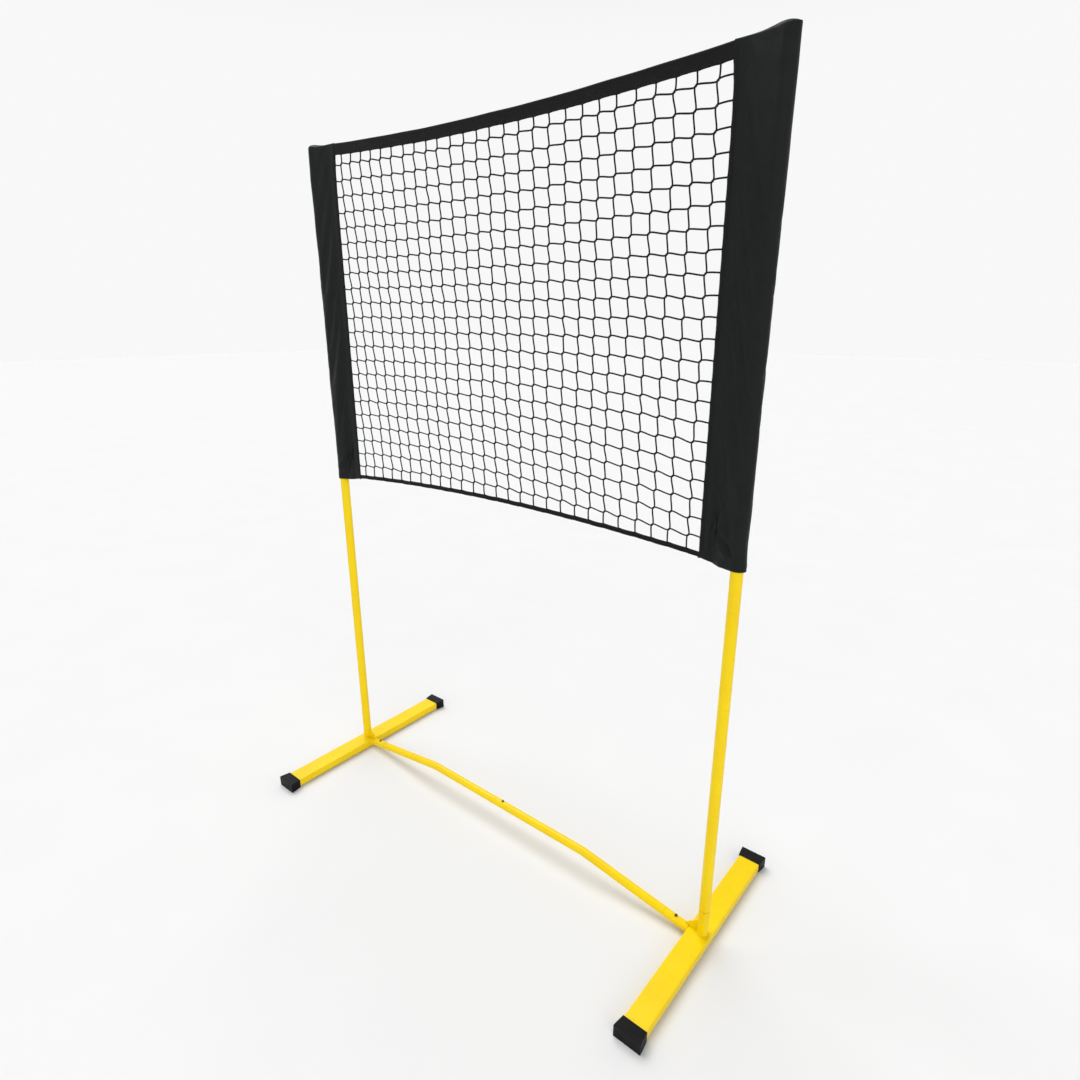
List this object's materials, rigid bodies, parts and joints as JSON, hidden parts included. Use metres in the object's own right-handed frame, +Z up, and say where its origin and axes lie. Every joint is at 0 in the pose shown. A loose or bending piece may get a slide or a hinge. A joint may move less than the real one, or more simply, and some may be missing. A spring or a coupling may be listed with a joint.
{
  "type": "volleyball net on poles",
  "caption": "Portable volleyball net on two telescoping poles with flat feet, a bent crossbar and a knotted mesh held by fabric sleeves.",
  "frame": {"origin": "on the ground under the middle of the net, halfway between the posts", "axes": "+X along the net to the right post, +Y away from the front, +Z up"},
  "size_m": [1.4442, 0.7, 2.0123],
  "materials": {
    "yellow_tube": "gloss powder coat",
    "black_plastic": "satin moulded",
    "button_steel": "blackened",
    "spring_steel": "satin",
    "sleeve_fabric": "woven nylon",
    "band_fabric": "woven tape",
    "mesh_twine": "knotted twine"
  },
  "bodies": {
    "root": {"left_foot_tube": "yellow_tube", "left_front_foot_cap": "black_plastic", "left_rear_foot_cap": "black_plastic", "left_post_socket": "yellow_tube", "left_crossbar_stub": "yellow_tube", "left_socket_gusset": "yellow_tube", "left_weld_beads": "yellow_tube", "left_stub_button_spring": "spring_steel", "right_foot_tube": "yellow_tube", "right_front_foot_cap": "black_plastic", "right_rear_foot_cap": "black_plastic", "right_post_socket": "yellow_tube", "right_crossbar_stub": "yellow_tube", "right_socket_gusset": "yellow_tube", "right_weld_beads": "yellow_tube", "right_stub_button_spring": "spring_steel", "crossbar_left_tube": "yellow_tube", "crossbar_right_tube": "yellow_tube", "middle_button_spring": "spring_steel"},
    "left_post": {"left_lower_post": "yellow_tube", "left_upper_post": "yellow_tube", "left_post_cap": "black_plastic", "left_post_button_spring": "spring_steel"},
    "right_post": {"right_lower_post": "yellow_tube", "right_upper_post": "yellow_tube", "right_post_cap": "black_plastic", "right_post_button_spring": "spring_steel"},
    "net": {"net_mesh": "mesh_twine", "net_top_band": "band_fabric", "net_bottom_binding": "band_fabric", "net_left_sleeve": "sleeve_fabric", "net_right_sleeve": "sleeve_fabric"},
    "left_post_button": {"left_post_snap_button": "button_steel"},
    "left_stub_button": {"left_stub_snap_button": "button_steel"},
    "right_post_button": {"right_post_snap_button": "button_steel"},
    "right_stub_button": {"right_stub_snap_button": "button_steel"},
    "middle_button": {"middle_snap_button": "button_steel"}
  },
  "joints": [
    {"name": "left_post_lift", "type": "slide", "parent": "root", "child": "left_post", "axis": [0, 0, 1], "range_m": [0, 0.065]},
    {"name": "right_post_lift", "type": "slide", "parent": "root", "child": "right_post", "axis": [0, 0, 1], "range_m": [0, 0.065]},
    {"name": "net_lift", "type": "slide", "parent": "left_post", "child": "net", "axis": [0, 0, 1], "range_m": [0, 0.985]},
    {"name": "left_stub_button_press", "type": "slide", "parent": "root", "child": "left_stub_button", "axis": [0.1478, 0, -0.989], "range_m": [0, 0.0054], "stiffness_N_per_m": 500, "springref_m": -0.004, "deforming": ["left_stub_button_spring"]},
    {"name": "middle_button_press", "type": "slide", "parent": "root", "child": "middle_button", "axis": [0, 0, -1], "range_m": [0, 0.0054], "stiffness_N_per_m": 500, "springref_m": -0.004, "deforming": ["middle_button_spring"]},
    {"name": "right_stub_button_press", "type": "slide", "parent": "root", "child": "right_stub_button", "axis": [-0.1478, 0, -0.989], "range_m": [0, 0.0054], "stiffness_N_per_m": 500, "springref_m": -0.004, "deforming": ["right_stub_button_spring"]},
    {"name": "left_post_button_press", "type": "slide", "parent": "left_post", "child": "left_post_button", "axis": [-1, 0, 0], "range_m": [0, 0.0054], "stiffness_N_per_m": 500, "springref_m": -0.004, "deforming": ["left_post_button_spring"]},
    {"name": "right_post_button_press", "type": "slide", "parent": "right_post", "child": "right_post_button", "axis": [1, 0, 0], "range_m": [0, 0.0054], "stiffness_N_per_m": 500, "springref_m": -0.004, "deforming": ["right_post_button_spring"]}
  ],
  "couplings": [
    {"joint": "right_post_lift", "follows": "left_post_lift", "ratio": 1}
  ]
}
